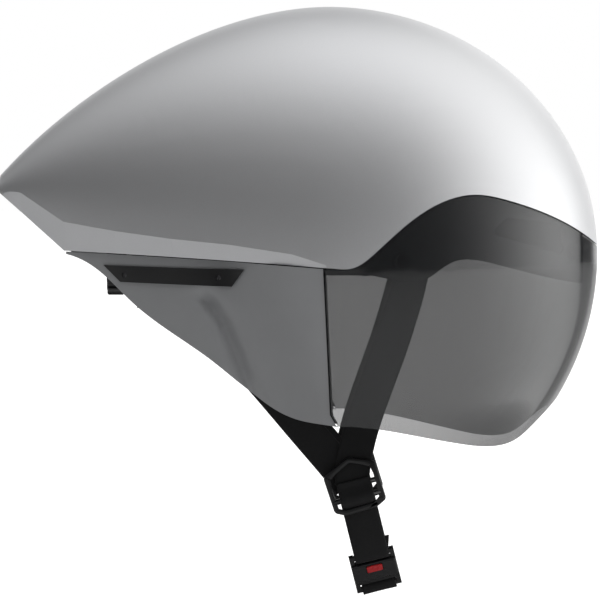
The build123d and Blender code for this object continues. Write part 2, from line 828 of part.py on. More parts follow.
# Arms: a rack in the yoke, then a band round the head to an eyelet at the temple
pivot_x = arm_pivot_share * form_length
rack_middle = rack_front - rack_depth / 2
arm_bend = yoke_half_width + arm_travel + running_gap
band = [(x * form_length, y * half_width) for x, y in arm_shares]
rack_root = pinion_pitch_radius + tooth_height + tooth_clearance
eyelet_side = band[-1][1]
rack_teeth = int((arm_start - tooth_pitch) / tooth_pitch)
with BuildPart() as fit_arm:
    with BuildSketch(Plane.XY.offset(ring_height - arm_height / 2)):
        with BuildLine() as line:
            Line((rack_middle, arm_start), (rack_middle, arm_bend))
            Spline((rack_middle, arm_bend), *band, (pivot_x, eyelet_side),
                   tangents=((0, 1), (1, 0)))
        trace(lines=line.edges(), line_width=arm_thickness)
    extrude(amount=arm_height)
    with BuildSketch(Plane.XZ.offset(-eyelet_side)):
        with Locations((pivot_x, ring_height)):
            Circle(eyelet_radius)
    extrude(amount=arm_thickness / 2, both=True)
    with BuildSketch(Plane.XZ.offset(-eyelet_side)):
        with Locations((pivot_x, ring_height)):
            Circle(pin_radius + running_gap)
    extrude(amount=arm_thickness, both=True, mode=Mode.SUBTRACT)
    with BuildSketch(ring_plane.offset(-rack_front)):
        with Locations(((arm_start + tooth_half * 2 - rack_tip) / 2,
                        -(rack_root + rack_height / 2))):
            Rectangle(arm_start + tooth_half * 2 + rack_tip, rack_height)
        for tooth in range(rack_teeth):
            place = (tooth + 0.5) * tooth_pitch - tooth_pitch * round(rack_tip / tooth_pitch)
            with Locations((place, -pinion_pitch_radius)):
                Polygon((-tooth_half - tooth_lean, -rack_height / 2),
                        (-tooth_half, 0), (-tooth_half + tooth_lean, tooth_height),
                        (tooth_half - tooth_lean, tooth_height), (tooth_half, 0),
                        (tooth_half + tooth_lean, -rack_height / 2), align=None)
    extrude(amount=rack_depth)
keep(fit_arm.part, "left_arm")
keep(fit_arm.part.rotate(Axis((0, 0, ring_height), (1, 0, 0)), 180), "right_arm")

# Pins at the temples, on which the arms swing and slide
pin_inner = eyelet_side - arm_travel - arm_thickness / 2 - running_gap
pin_outer = side_of_head(pivot_x, ring_height) + pin_seat
with BuildPart() as arm_pins:
    with BuildSketch(Plane.XZ.offset(-pin_inner)):
        with Locations((pivot_x, ring_height)):
            Circle(pin_radius)
    extrude(amount=-(pin_outer - pin_inner))
    with BuildSketch(Plane.XZ.offset(-pin_inner)):
        with Locations((pivot_x, ring_height)):
            Circle(pin_head_radius)
    extrude(amount=pin_head)
    mirror(about=Plane.XZ)
keep(arm_pins.part, "arm_pins")

# Magnets: one set on bosses of the brow, one set inside the visor
magnet_places = [at(point) for point in magnet_shares]
visor_clear = brow_depth - visor_wall - running_gap
magnet_top = visor_clear - magnet_height - running_gap


def magnet_planes(height):
    """Planes above the brow at every magnet."""
    return [surface_plane(brow_side, x, z, side).offset(height)
            for x, z in magnet_places for side in (-1, 1)]


with BuildPart() as brow_magnets:
    for plane in magnet_planes(magnet_top):
        with BuildSketch(plane):
            Circle(magnet_radius)
        extrude(amount=-magnet_height)
keep(brow_magnets.part, "brow_magnets")

with BuildPart() as visor_magnets:
    for plane in magnet_planes(magnet_top + running_gap):
        with BuildSketch(plane):
            Circle(magnet_radius)
        extrude(amount=magnet_height)
keep(visor_magnets.part, "visor_magnets")

# Outer shell
inner_bevel = bevel(shell_wall)
with BuildPart() as shell_core:
    add(form(shell_wall))
    add(inner_bevel, mode=Mode.SUBTRACT)
with BuildPart() as outer_shell:
    add(form(0))
    add(bevel(0), mode=Mode.SUBTRACT)
    add(shell_core.part, mode=Mode.SUBTRACT)
    add(side_block(shell_area()), mode=Mode.INTERSECT)
keep(outer_shell.part, "outer_shell")

# Visor lens
with BuildPart() as visor_lens:
    add(form(0, 1))
    add(form(visor_wall, 1), mode=Mode.SUBTRACT)
    add(side_block(visor_area()), mode=Mode.INTERSECT)
    add(side_block(shell_area(-seam_gap)), mode=Mode.SUBTRACT)
keep(visor_lens.part, "visor_lens")

# Brow shell behind the visor, with its scoops and magnet bosses
brow_block = side_block(brow_area())
with BuildPart() as brow_shell:
    add(form(brow_depth, 1))
    add(form(brow_depth + brow_wall, 1), mode=Mode.SUBTRACT)
    add(brow_block, mode=Mode.INTERSECT)
    add(side_block(shell_area(brow_tuck)), mode=Mode.SUBTRACT)
    add(side_block(scoop_area()), mode=Mode.SUBTRACT)
    for plane in magnet_planes(magnet_top - magnet_height - plate_seat):
        with BuildSketch(plane):
            Circle(magnet_boss_radius)
        extrude(amount=-(magnet_top - magnet_height + brow_wall / 2))
keep(brow_shell.part, "brow_shell")

# Foam liner: crown, brow and ear lobes, less the head, the channels and the rear pocket
liner_inset = shell_wall + running_gap
with BuildPart() as crown_foam:
    add(form(liner_inset))
    add(bevel(liner_inset), mode=Mode.SUBTRACT)
    add(side_block(shell_area(brow_tuck + liner_lift)), mode=Mode.INTERSECT)
with BuildPart() as brow_foam:
    add(form(brow_depth + brow_wall + running_gap, 1))
    add(side_block(brow_area(liner_lift)), mode=Mode.INTERSECT)
with BuildPart() as lobe_foam:
    add(form(lobe_inset, len(tail_shares) - 2))
    add(side_block(lobe_area()), mode=Mode.INTERSECT)
with BuildPart() as channels:
    add(head_space(-channel_depth))
    with BuildSketch(Plane.XY.offset(channel_floor)):
        with GridLocations(0, channel_pitch, 1, 4):
            Rectangle(2 * channel_reach, channel_width)
    extrude(amount=head_height, mode=Mode.INTERSECT)
with BuildPart() as scoops:
    add(side_block(scoop_area()))
    add(form(brow_depth + brow_wall + scoop_depth, 1), mode=Mode.SUBTRACT)
with BuildPart() as foam_liner:
    add(crown_foam.part)
    add(brow_foam.part)
    add(lobe_foam.part)
    add(head_space(0), mode=Mode.SUBTRACT)
    with BuildSketch(Plane.XY.offset(-head_drop)):
        Ellipse(head_half_length, head_half_width)
    extrude(amount=-belly_drop, mode=Mode.SUBTRACT)
    with BuildSketch(Plane.XY.offset(-belly_drop)):
        with Locations(((pocket_front + pocket_back) / 2, 0)):
            Rectangle(pocket_front - pocket_back, 2 * pocket_half_width)
    extrude(amount=belly_drop + pocket_top, mode=Mode.SUBTRACT)
    with BuildSketch(Plane.XY.offset(-belly_drop)):
        with Locations(((relief_front + pocket_front) / 2, 0)):
            Rectangle(relief_front - pocket_front, 2 * relief_half_width)
    extrude(amount=belly_drop + relief_top, mode=Mode.SUBTRACT)
    add(channels.part, mode=Mode.SUBTRACT)
    add(scoops.part, mode=Mode.SUBTRACT)
    add(anchor_bolts(anchor_radius + plate_seat), mode=Mode.SUBTRACT)
    with BuildSketch(Plane.XZ):
        with Locations((pivot_x, ring_height)):
            Circle(pin_radius + plate_seat)
    extrude(amount=pin_outer + plate_seat, both=True, mode=Mode.SUBTRACT)
keep(foam_liner.part, "foam_liner")
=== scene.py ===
import json
import math

import bmesh
import bpy
from mathutils import Matrix, Vector
from mathutils.geometry import interpolate_bezier


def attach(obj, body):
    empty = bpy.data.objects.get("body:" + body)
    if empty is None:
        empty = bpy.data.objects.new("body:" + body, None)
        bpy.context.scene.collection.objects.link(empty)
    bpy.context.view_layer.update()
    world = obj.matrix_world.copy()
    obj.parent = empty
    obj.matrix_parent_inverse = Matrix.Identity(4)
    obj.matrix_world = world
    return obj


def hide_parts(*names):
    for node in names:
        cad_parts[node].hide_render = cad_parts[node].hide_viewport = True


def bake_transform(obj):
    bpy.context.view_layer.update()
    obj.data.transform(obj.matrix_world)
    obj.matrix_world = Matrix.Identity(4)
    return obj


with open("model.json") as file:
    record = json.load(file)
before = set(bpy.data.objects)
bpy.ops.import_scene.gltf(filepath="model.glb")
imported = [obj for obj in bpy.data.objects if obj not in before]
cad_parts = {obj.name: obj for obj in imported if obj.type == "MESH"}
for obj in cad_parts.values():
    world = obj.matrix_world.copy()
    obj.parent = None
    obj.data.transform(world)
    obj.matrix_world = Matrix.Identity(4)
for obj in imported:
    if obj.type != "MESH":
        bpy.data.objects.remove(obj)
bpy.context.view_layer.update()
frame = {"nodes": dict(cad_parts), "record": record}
print("frame loaded")

mm = 0.001  # settings are in millimetres, Blender's scene in metres
mergeDistance = 1e-6
noiseRange = (0.3, 0.7)  # where most values of a noise texture lie


# materials: a few small helpers, then one function for each finish

def newMaterial(name, color, roughness, **sockets):
    material = bpy.data.materials.new(name)
    material.use_nodes = True
    shader = material.node_tree.nodes["Principled BSDF"]
    shader.inputs["Base Color"].default_value = (*color, 1)
    shader.inputs["Roughness"].default_value = roughness
    for socket, value in sockets.items():
        shader.inputs[socket.replace("_", " ")].default_value = value
    return material, shader


def addNode(material, kind, **settings):
    node = material.node_tree.nodes.new("ShaderNode" + kind)
    for key, value in settings.items():
        if key in node.inputs:
            node.inputs[key].default_value = value
        else:
            setattr(node, key, value)
    return node


def join(material, output, socket):
    material.node_tree.links.new(output, socket)


def objectPoint(material):
    return addNode(material, "TexCoord").outputs["Object"]


def noiseOf(material, scale, detail=3, roughness=0.5):
    noise = addNode(material, "TexNoise", Scale=scale, Detail=detail, Roughness=roughness)
    join(material, objectPoint(material), noise.inputs["Vector"])
    return noise.outputs["Fac"]


def remap(material, value, low, high, outLow, outHigh, kind="LINEAR"):
    change = addNode(material, "MapRange", interpolation_type=kind)
    for socket, number in zip(("From Min", "From Max", "To Min", "To Max"),
                              (low, high, outLow, outHigh)):
        change.inputs[socket].default_value = number
    join(material, value, change.inputs["Value"])
    return change.outputs["Result"]


def calc(material, operation, first, second=None):
    node = addNode(material, "Math", operation=operation)
    for socket, value in zip(node.inputs, (first, second)):
        if isinstance(value, (int, float)):
            socket.default_value = value
        elif value is not None:
            join(material, value, socket)
    return node.outputs["Value"]


def mixColor(material, factor, first, second):
    mix = addNode(material, "Mix", data_type="RGBA")
    for socket, value in (("Factor", factor), ("A", first), ("B", second)):
        found = [s for s in mix.inputs if s.name == socket and s.enabled][0]
        if isinstance(value, tuple):
            found.default_value = (*value, 1)
        elif isinstance(value, (int, float)):
            found.default_value = value
        else:
            join(material, value, found)
    return [s for s in mix.outputs if s.enabled][0]


def bumpFrom(material, shader, height, strength, distance):
    bump = addNode(material, "Bump", Strength=strength, Distance=distance)
    join(material, height, bump.inputs["Height"])
    join(material, bump.outputs["Normal"], shader.inputs["Normal"])


def axisOf(material, name):
    split = addNode(material, "SeparateXYZ")
    join(material, objectPoint(material), split.inputs["Vector"])
    return split.outputs[name]


# white and the fade numbers make a painted highlight: the shell's front and top are painted
# whiter, where the light falls
paintFinish = dict(silver=(0.70, 0.705, 0.72), white=(0.90, 0.905, 0.915), metallic=0.92,
                   frontMetallic=0.3, roughness=0.42, roughnessSpread=(-0.03, 0.04),
                   flakeScale=2600, dull=0.95, paintedLightFrom=0.02, paintedLightTo=0.13, paintedLightLean=0.25)


def paintedShell():
    # silver metal flake paint; towards the front and the top of the shell the colour is
    # painted white and less metallic, a painted highlight that stands in for the light from
    # the front and above
    p = paintFinish
    material, shader = newMaterial("paintedShell", p["silver"], p["roughness"])
    x, z = axisOf(material, "X"), axisOf(material, "Z")
    # painted highlight: the share grows towards the front and the top of the shell and
    # turns the silver white there
    reach = calc(material, "ADD", x, calc(material, "MULTIPLY", z, p["paintedLightLean"]))
    share = remap(material, reach, p["paintedLightFrom"], p["paintedLightTo"], 0, 1, "SMOOTHSTEP")
    flake = noiseOf(material, p["flakeScale"], 1)
    dull = tuple(c * p["dull"] for c in p["silver"])
    silver = mixColor(material, remap(material, flake, *noiseRange, 0, 1), dull,
                      p["silver"])
    join(material, mixColor(material, share, silver, p["white"]),
         shader.inputs["Base Color"])
    join(material, remap(material, share, 0, 1, p["metallic"], p["frontMetallic"]),
         shader.inputs["Metallic"])
    smooth, rough = (p["roughness"] + spread for spread in p["roughnessSpread"])
    join(material, remap(material, flake, *noiseRange, smooth, rough),
         shader.inputs["Roughness"])
    return material


plasticFinish = dict(hazeScale=60, hazeDetail=4, colorSpread=0.05, roughnessSpread=0.05,
                     bump=0.1, bumpDepth=0.03)


def satinPlastic(name, color, roughness=0.4, grain=700):
    p = plasticFinish
    material, shader = newMaterial(name, color, roughness)
    haze = noiseOf(material, p["hazeScale"], p["hazeDetail"])
    darker = tuple(c * (1 - p["colorSpread"]) for c in color)
    lighter = tuple(min(1, c * (1 + p["colorSpread"])) for c in color)
    join(material, mixColor(material, haze, darker, lighter), shader.inputs["Base Color"])
    spread = p["roughnessSpread"]
    join(material, remap(material, haze, *noiseRange, roughness - spread,
                         roughness + spread), shader.inputs["Roughness"])
    bumpFrom(material, shader, noiseOf(material, grain, 2), p["bump"], p["bumpDepth"] * mm)
    return material


# cover is the share of light that one face of the lens keeps back
lensFinish = dict(color=(0.02, 0.021, 0.023), roughness=0.05, IOR=1.9, edgeBlend=0.35,
                  cover=0.48, edgeCover=0.82)


def smokeLens():
    p = lensFinish
    material, shader = newMaterial("smokeLens", p["color"], p["roughness"], IOR=p["IOR"])
    edge = addNode(material, "LayerWeight", Blend=p["edgeBlend"])
    cover = remap(material, edge.outputs["Facing"], 0, 1, p["cover"], p["edgeCover"])
    join(material, cover, shader.inputs["Alpha"])
    return material


foamFinish = dict(base=(0.012, 0.012, 0.013), roughness=0.9, specular=0.25, beadScale=330,
                  beadEdge=0.8, joint=(0.006, 0.006, 0.0065), bead=(0.02, 0.02, 0.021),
                  bump=0.25, bumpDepth=0.35)


def beadedFoam():
    p = foamFinish
    material, shader = newMaterial("beadedFoam", p["base"], p["roughness"],
                                   Specular_IOR_Level=p["specular"])
    beads = addNode(material, "TexVoronoi", Scale=p["beadScale"])
    join(material, objectPoint(material), beads.inputs["Vector"])
    size = remap(material, beads.outputs["Distance"], 0, p["beadEdge"], 1, 0)
    join(material, mixColor(material, size, p["joint"], p["bead"]),
         shader.inputs["Base Color"])
    bumpFrom(material, shader, size, p["bump"], p["bumpDepth"] * mm)
    return material


metalGrain = dict(scale=500, spread=(-0.06, 0.1))


def metalFinish(name, color, roughness):
    material, shader = newMaterial(name, color, roughness, Metallic=1.0)
    smooth, rough = (roughness + spread for spread in metalGrain["spread"])
    join(material, remap(material, noiseOf(material, metalGrain["scale"]), *noiseRange,
                         smooth, rough), shader.inputs["Roughness"])
    return material


weave = dict(rib=1.1, row=0.8, color=(0.006, 0.006, 0.0065), raised=(0.016, 0.016, 0.017),
             roughness=0.75, sheen=0.12, specular=0.3, fuzzScale=900, bump=0.35,
             bumpDepth=0.15)


def wovenWebbing():
    # ribs along the strap, offset row by row, from the map laid on each strap
    w = weave
    material, shader = newMaterial("wovenWebbing", w["color"], w["roughness"],
                                   Sheen_Weight=w["sheen"],
                                   Specular_IOR_Level=w["specular"])
    chart = addNode(material, "UVMap")
    split = addNode(material, "SeparateXYZ")
    join(material, chart.outputs["UV"], split.inputs["Vector"])
    across, along = split.outputs["X"], split.outputs["Y"]
    ribs = calc(material, "SINE", calc(material, "MULTIPLY", across, math.tau / w["rib"]))
    rows = calc(material, "SINE", calc(material, "MULTIPLY", along, math.tau / w["row"]))
    height = calc(material, "MULTIPLY", calc(material, "ADD", calc(material, "MULTIPLY",
                  ribs, rows), 1.0), 0.5)
    fuzz = noiseOf(material, w["fuzzScale"])
    share = calc(material, "MULTIPLY", calc(material, "ADD", height, fuzz), 0.5)
    join(material, mixColor(material, share, w["color"], w["raised"]),
         shader.inputs["Base Color"])
    bumpFrom(material, shader, height, w["bump"], w["bumpDepth"] * mm)
    return material


clothFinish = dict(base=(0.035, 0.035, 0.038), roughness=0.92, sheen=0.35, knitScale=1150,
                   knitEdge=0.6, patchScale=45, patchDetail=4, dark=(0.018, 0.018, 0.02),
                   light=(0.05, 0.05, 0.054), bump=0.4, bumpDepth=0.25)


def brushedCloth():
    p = clothFinish
    material, shader = newMaterial("brushedCloth", p["base"], p["roughness"],
                                   Sheen_Weight=p["sheen"])
    knit = addNode(material, "TexVoronoi", Scale=p["knitScale"])
    join(material, objectPoint(material), knit.inputs["Vector"])
    cell = remap(material, knit.outputs["Distance"], 0, p["knitEdge"], 1, 0)
    patch = noiseOf(material, p["patchScale"], p["patchDetail"])
    share = calc(material, "MULTIPLY", calc(material, "ADD", cell, patch), 0.5)
    join(material, mixColor(material, share, p["dark"], p["light"]),
         shader.inputs["Base Color"])
    bumpFrom(material, shader, cell, p["bump"], p["bumpDepth"] * mm)
    return material


finishes = {
    "painted_shell": paintedShell(),
    "liner_foam": beadedFoam(),
    "black_shell": satinPlastic("browPlastic", (0.1, 0.103, 0.108), 0.5),
    "panel_shell": satinPlastic("panelShell", (0.34, 0.345, 0.355), 0.36),
    "black_plate": satinPlastic("blackPlate", (0.014, 0.014, 0.015), 0.35),
    "screw_steel": metalFinish("screwSteel", (0.11, 0.11, 0.115), 0.4),
    "magnet_steel": metalFinish("magnetSteel", (0.1, 0.1, 0.105), 0.35),
    "pad_cloth": brushedCloth(),
    "webbing": wovenWebbing(),
    "black_plastic": satinPlastic("blackPlastic", (0.012, 0.012, 0.013), 0.3),
    "red_plastic": satinPlastic("redPlastic", (0.62, 0.02, 0.025), 0.3),
    "white_plastic": satinPlastic("whitePlastic", (0.6, 0.6, 0.58), 0.4),
    "smoke_lens": smokeLens(),
    "thread": satinPlastic("thread", (0.05, 0.05, 0.053), 0.8),
    "rubber": satinPlastic("rubber", (0.012, 0.012, 0.013), 0.75),
}
print("finishes made")

for part in frame["record"]["subparts"]:
    node = frame["nodes"][part["node"]]
    for slot in node.material_slots:
        slot.material = finishes[part["material_slot"]]


# shapes: smooth lines, webbing, pads and small hardware

def smoothLine(points, step=2.0):
    # places along a smooth line through points given in millimetres
    places = [Vector(p) * mm for p in points]
    line = []
    for i in range(len(places) - 1):
        before, after = places[max(i - 1, 0)], places[min(i + 2, len(places) - 1)]
        length = (places[i + 1] - places[i]).length
        reach = length / 3
        leave = places[i] + (places[i + 1] - before).normalized() * reach
        arrive = places[i + 1] - (after - places[i]).normalized() * reach
        count = max(3, round(length / (step * mm)) + 1)
        line += interpolate_bezier(places[i], leave, arrive, places[i + 1], count)[:-1]
    return line + [places[-1]]


def lineFrames(line, across=None):
    # place, direction across the webbing and direction out of its face, at each step;
    # without a direction across, the webbing lies square to the side of the helmet
    frames = []
    for i, place in enumerate(line):
        along = (line[min(i + 1, len(line) - 1)] - line[max(i - 1, 0)]).normalized()
        side = across or along.cross(Vector((0, 1, 0)))
        side = (side - along * side.dot(along)).normalized()
        frames.append((place, side, along.cross(side)))
    return frames


def makePiece(name, bm, finish, body, replaced=()):
    mesh = bpy.data.meshes.new(name)
    bm.to_mesh(mesh)
    bm.free()
    mesh.materials.append(finish)
    mesh.shade_smooth()
    piece = bpy.data.objects.new(name, mesh)
    bpy.context.collection.objects.link(piece)
    if body:
        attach(piece, body)
    if replaced:
        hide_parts(*replaced)
    return piece


webbing = dict(width=19.6, thickness=1.4, crown=0.12, acrossFaces=8, edgeRound=0.4,
               edgeSteps=2, edgeAngle=60)
stitch = dict(length=1.76, width=0.45, rise=0.35, lift=1.0, count=8, spread=0.8, sides=6,
              rings=4)


def layWebbing(bm, line, across=None, shift=None):
    # one strip of webbing, with its map in millimetres for the weave
    frames = lineFrames(line, across)
    lengths = [0]
    for first, second in zip(line, line[1:]):
        lengths.append(lengths[-1] + (second - first).length)
    strip = bmesh.ops.create_grid(bm, x_segments=webbing["acrossFaces"],
                                  y_segments=len(line) - 1, size=0.5)["verts"]
    weaveMap = bm.loops.layers.uv.verify()
    half = webbing["width"] / 2 * mm
    chart = {}
    for vert in strip:
        step = round((vert.co.y + 0.5) * (len(line) - 1))
        chart[vert] = (vert.co.x * 2, step)
    for face in {f for v in strip for f in v.link_faces}:
        for loop in face.loops:
            share, step = chart[loop.vert]
            loop[weaveMap].uv = (share * half / mm, lengths[step] / mm)
    for vert, (share, step) in chart.items():
        place, side, out = frames[step]
        crown = (1 - share * share) * webbing["crown"] * mm
        drift = shift(step / (len(line) - 1)) * mm if shift else 0
        vert.co = place + side * (share * half + drift) + out * crown
    return frames


def stitchRow(bm, frames, step, face):
    # a row of thread across one face of the webbing
    place, side, out = frames[step]
    along = out.cross(side)
    shape = Matrix((side, along, out)).transposed() @ Matrix.Diagonal(
        (stitch["length"] / 2 * mm, stitch["width"] / 2 * mm, stitch["rise"] / 2 * mm))
    for k in range(stitch["count"]):
        share = stitch["spread"] * (2 * k / (stitch["count"] - 1) - 1)
        verts = bmesh.ops.create_uvsphere(bm, u_segments=stitch["sides"],
                                          v_segments=stitch["rings"], radius=1)["verts"]
        at = (place + side * share * webbing["width"] / 2 * mm
              + out * face * stitch["lift"] * mm)
        for vert in verts:
            vert.co = shape @ vert.co + at


def thicken(piece, thickness):
    wall = piece.modifiers.new("thickness", "SOLIDIFY")
    wall.thickness = thickness * mm
    wall.offset = 0


def finishWebbing(piece):
    thicken(piece, webbing["thickness"])
    rounding = piece.modifiers.new("edges", "BEVEL")
    rounding.width = webbing["edgeRound"] * mm
    rounding.segments = webbing["edgeSteps"]
    rounding.limit_method = "ANGLE"
    rounding.angle_limit = math.radians(webbing["edgeAngle"])


def mirrored(points):
    return [(x, -y, z) for x, y, z in points]


# straps of the wearer's right, from the anchor in the liner to the divider
strapLines = dict(
    front=((38.4, -68.3, 25.5), (38.4, -66.7, 16.0), (36.5, -63.0, -5.9),
           (27.1, -57.2, -40.0), (14.05, -51.0, -77.0), (9.4, -49.8, -91.0),
           (6.0, -50.8, -104.0), (4.2, -51.1, -114.0), (3.4, -51.1, -125.5)),
    rear=((-82.2, -49.2, -27.6), (-73.7, -49.4, -35.4), (-45.6, -50.0, -67.2),
          (-24.5, -50.0, -92.0), (-5.5, -49.2, -114.3), (2.6, -49.2, -124.5)))

for name, points in strapLines.items():
    for hand, line in (("right", points), ("left", mirrored(points))):
        bm = bmesh.new()
        layWebbing(bm, smoothLine(line))
        strap = makePiece(f"{name}Strap.{hand}", bm, finishes["webbing"], "helmet",
                          (f"{name}_strap_{hand}",))
        finishWebbing(strap)
print("upper straps laid")

# the chin straps thread through the dividers: places are (side, height) in a plane through
# both dividers, which leans with them
chinPlane = dict(origin=Vector((4.596, 0, -124.6)) * mm, lean=math.radians(14), side=54.0)
chinAcross = Vector((math.cos(chinPlane["lean"]), 0, math.sin(chinPlane["lean"])))
chinUp = Vector((-math.sin(chinPlane["lean"]), 0, math.cos(chinPlane["lean"])))


def chinPlace(side, height):
    return chinPlane["origin"] + Vector((0, side * mm, 0)) + chinUp * height * mm


chinStraps = dict(
    right=((-53.2, 2.5), (-53.3, -1.5), (-54.5, -4.7), (-55.8, -7.2), (-55.3, -9.6),
           (-53.4, -11.6), (-51.8, -13.8), (-51.3, -17.5), (-51.8, -25.0), (-52.2, -33.0),
           (-52.0, -39.0), (-51.5, -42.1), (-49.9, -43.7), (-47.9, -43.5), (-46.5, -42.1),
           (-46.5, -39.9), (-48.2, -35.2), (-48.9, -32.5)),
    left=((53.2, 2.5), (53.3, -1.5), (54.5, -4.7), (55.8, -7.2), (55.2, -9.6),
          (53.1, -11.7), (51.2, -13.9), (49.3, -17.6), (46.6, -22.4), (34.2, -32.2),
          (11.4, -45.8), (-13.1, -55.8), (-28.7, -60.1), (-39.5, -62.2), (-41.9, -62.2),
          (-43.3, -60.5), (-43.2, -58.6), (-41.6, -57.3), (-38.6, -58.2), (-28.4, -56.9),
          (-19.0, -54.9)))
# the end that is sewn back drifts sideways by some millimetres, from this share of the
# strap on, and the stitches sit some steps before it ends
sewnEnd = dict(right=0.86, left=0.84, drift=2.6, stitchSteps=(4, 6), step=1.3)

for hand, points in chinStraps.items():
    bm = bmesh.new()
    line = smoothLine([chinPlace(*point) / mm for point in points], sewnEnd["step"])
    sewn = sewnEnd[hand]
    frames = layWebbing(bm, line, chinAcross, lambda share: sewnEnd["drift"]
                        * max(0, (share - sewn) / (1 - sewn)))
    strap = makePiece(f"chinStrap.{hand}", bm, finishes["webbing"],
                      "helmet" if hand == "right" else None,
                      (f"chin_strap_{hand}",))
    finishWebbing(strap)
    if hand == "left":
        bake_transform(strap)
    bm = bmesh.new()
    for back in sewnEnd["stitchSteps"]:
        for face in (-1, 1):
            stitchRow(bm, frames, len(frames) - back, face)
    makePiece(f"chinStitches.{hand}", bm, finishes["thread"],
              "helmet" if hand == "right" else "left_chin")
print("chin straps threaded")

dividerRing = dict(outline=((0, 1), (0.92, 0.66), (1, -0.75), (0.6, -0.95), (-0.52, -1),
                            (-0.9, -0.82), (-1, 0.5)), half=16.0, rim=3.0, thickness=2.6,
                   corner=1.6, cornerSteps=4, chamfer=0.75, chamferSteps=2, edgeTurn=1.2,
                   barRadius=1.6, barLength=27.4, barHeight=-7.3, barSides=20)


def ringAround(hand):
    d = dividerRing
    bm = bmesh.new()
    corners = [bm.verts.new((u * d["half"] * mm, v * d["half"] * mm, 0))
               for u, v in d["outline"]]
    bm.faces.new(corners)
    bmesh.ops.bevel(bm, geom=bm.verts[:], offset=d["corner"] * mm,
                    segments=d["cornerSteps"], profile=0.5, affect="VERTICES", material=-1)
    inner = bm.faces[:]
    bmesh.ops.inset_individual(bm, faces=inner, thickness=d["rim"] * mm,
                               use_even_offset=True)
    bmesh.ops.delete(bm, geom=inner, context="FACES_ONLY")
    grown = bmesh.ops.extrude_face_region(bm, geom=bm.faces[:])["geom"]
    top = [g for g in grown if isinstance(g, bmesh.types.BMVert)]
    bmesh.ops.translate(bm, verts=top, vec=(0, 0, d["thickness"] * mm))
    bmesh.ops.recalc_face_normals(bm, faces=bm.faces[:])
    bmesh.ops.translate(bm, verts=bm.verts[:], vec=(0, 0, -d["thickness"] / 2 * mm))
    sharp = [e for e in bm.edges
             if len(e.link_faces) == 2 and e.calc_face_angle() > d["edgeTurn"]]
    bmesh.ops.bevel(bm, geom=sharp, offset=d["chamfer"] * mm, segments=d["chamferSteps"],
                    profile=0.5, affect="EDGES", material=-1)
    turn = Matrix.Rotation(math.pi / 2, 4, "Y")
    bmesh.ops.create_cone(bm, cap_ends=True, segments=d["barSides"],
                          radius1=d["barRadius"] * mm, radius2=d["barRadius"] * mm,
                          depth=d["barLength"] * mm,
                          matrix=Matrix.Translation((0, d["barHeight"] * mm, 0)) @ turn)
    out = Vector((0, -1 if hand == "right" else 1, 0))
    place = Matrix((chinAcross, chinUp, out)).transposed().to_4x4()
    place.translation = chinPlane["origin"] + out * chinPlane["side"] * mm
    bmesh.ops.transform(bm, matrix=place, verts=bm.verts[:])
    bmesh.ops.recalc_face_normals(bm, faces=bm.faces[:])
    return bm


for hand in ("right", "left"):
    makePiece(f"dividerRing.{hand}", ringAround(hand), finishes["black_plastic"],
              "helmet", (f"strap_divider_{hand}",))
print("dividers made")

# slotted screws of the side plates: middle of the head and its direction, right side
plateScrew = dict(places=(((-124.6, -53.5, -5.9), (-0.51, -0.86, -0.07)),
                          ((-71.4, -78.0, -6.8), (-0.21, -0.98, 0.06))),
                  radius=2.3, head=1.9, rise=0.75, sides=32, slotWidth=0.7, slotDepth=0.6)


def slottedScrew(bm, place, out):
    d = plateScrew
    new = bmesh.new()
    bmesh.ops.create_circle(new, cap_ends=True, segments=d["sides"],
                            radius=d["radius"] * mm)
    for side in (-1, 1):
        bmesh.ops.bisect_plane(new, geom=new.verts[:] + new.edges[:] + new.faces[:],
                               plane_co=(side * d["slotWidth"] / 2 * mm, 0, 0),
                               plane_no=(1, 0, 0))
    rim = [e for e in new.edges if len(e.link_faces) == 1]
    skirt = bmesh.ops.extrude_edge_only(new, edges=rim)["geom"]
    bmesh.ops.translate(new, verts=[g for g in skirt if isinstance(g, bmesh.types.BMVert)],
                        vec=(0, 0, -d["head"] * mm))
    bmesh.ops.holes_fill(new, edges=[e for e in new.edges if len(e.link_faces) == 1])
    slot = [f for f in new.faces if f.calc_center_median().z > -mergeDistance
            and abs(f.calc_center_median().x) < 10 * mergeDistance]
    down = bmesh.ops.extrude_face_region(new, geom=slot)["geom"]
    bmesh.ops.translate(new, verts=[g for g in down if isinstance(g, bmesh.types.BMVert)],
                        vec=(0, 0, -d["slotDepth"] * mm))
    bmesh.ops.delete(new, geom=slot, context="FACES_ONLY")
    bmesh.ops.recalc_face_normals(new, faces=new.faces[:])
    out = Vector(out).normalized()
    side = Vector((0, 0, 1)).cross(out).normalized()
    turn = Matrix((side, out.cross(side), out)).transposed().to_4x4()
    turn.translation = Vector(place) * mm + out * d["rise"] * mm
    bmesh.ops.transform(new, matrix=turn, verts=new.verts[:])
    kept = bpy.data.meshes.new("screwShape")
    new.to_mesh(kept)
    new.free()
    bm.from_mesh(kept)
    bpy.data.meshes.remove(kept)


bm = bmesh.new()
for place, out in plateScrew["places"]:
    slottedScrew(bm, place, out)
    slottedScrew(bm, mirrored([place])[0], mirrored([out])[0])
bmesh.ops.recalc_face_normals(bm, faces=bm.faces[:])
makePiece("plateScrews", bm, finishes["screw_steel"], "helmet",
          ("plate_screws",))
print("screws set")

# painted shade: a dark strip inside the joint between each side panel and the visor, so
# that the seam shows as a dark line of shade
seamShadeSizes = dict(top=-4.0, bottom=-90.0, steps=40, behind=3.0, ahead=2.0, thickness=0.8,
                 panelWall=0.6, searchFrom=-4.0, searchTo=-25.0, searchStep=0.2)


def panelEdge(panel, side, z):
    # the panel's front edge at that height: (x, y of its inner face)
    x, found = seamShadeSizes["searchFrom"], None
    while x > seamShadeSizes["searchTo"] and found is None:
        hit, place, _, _ = panel.ray_cast(Vector((x * mm, 0, z * mm)),
                                          Vector((0, side, 0)))
        found = place if hit else None
        x -= seamShadeSizes["searchStep"]
    return (x, found.y / mm) if found else None


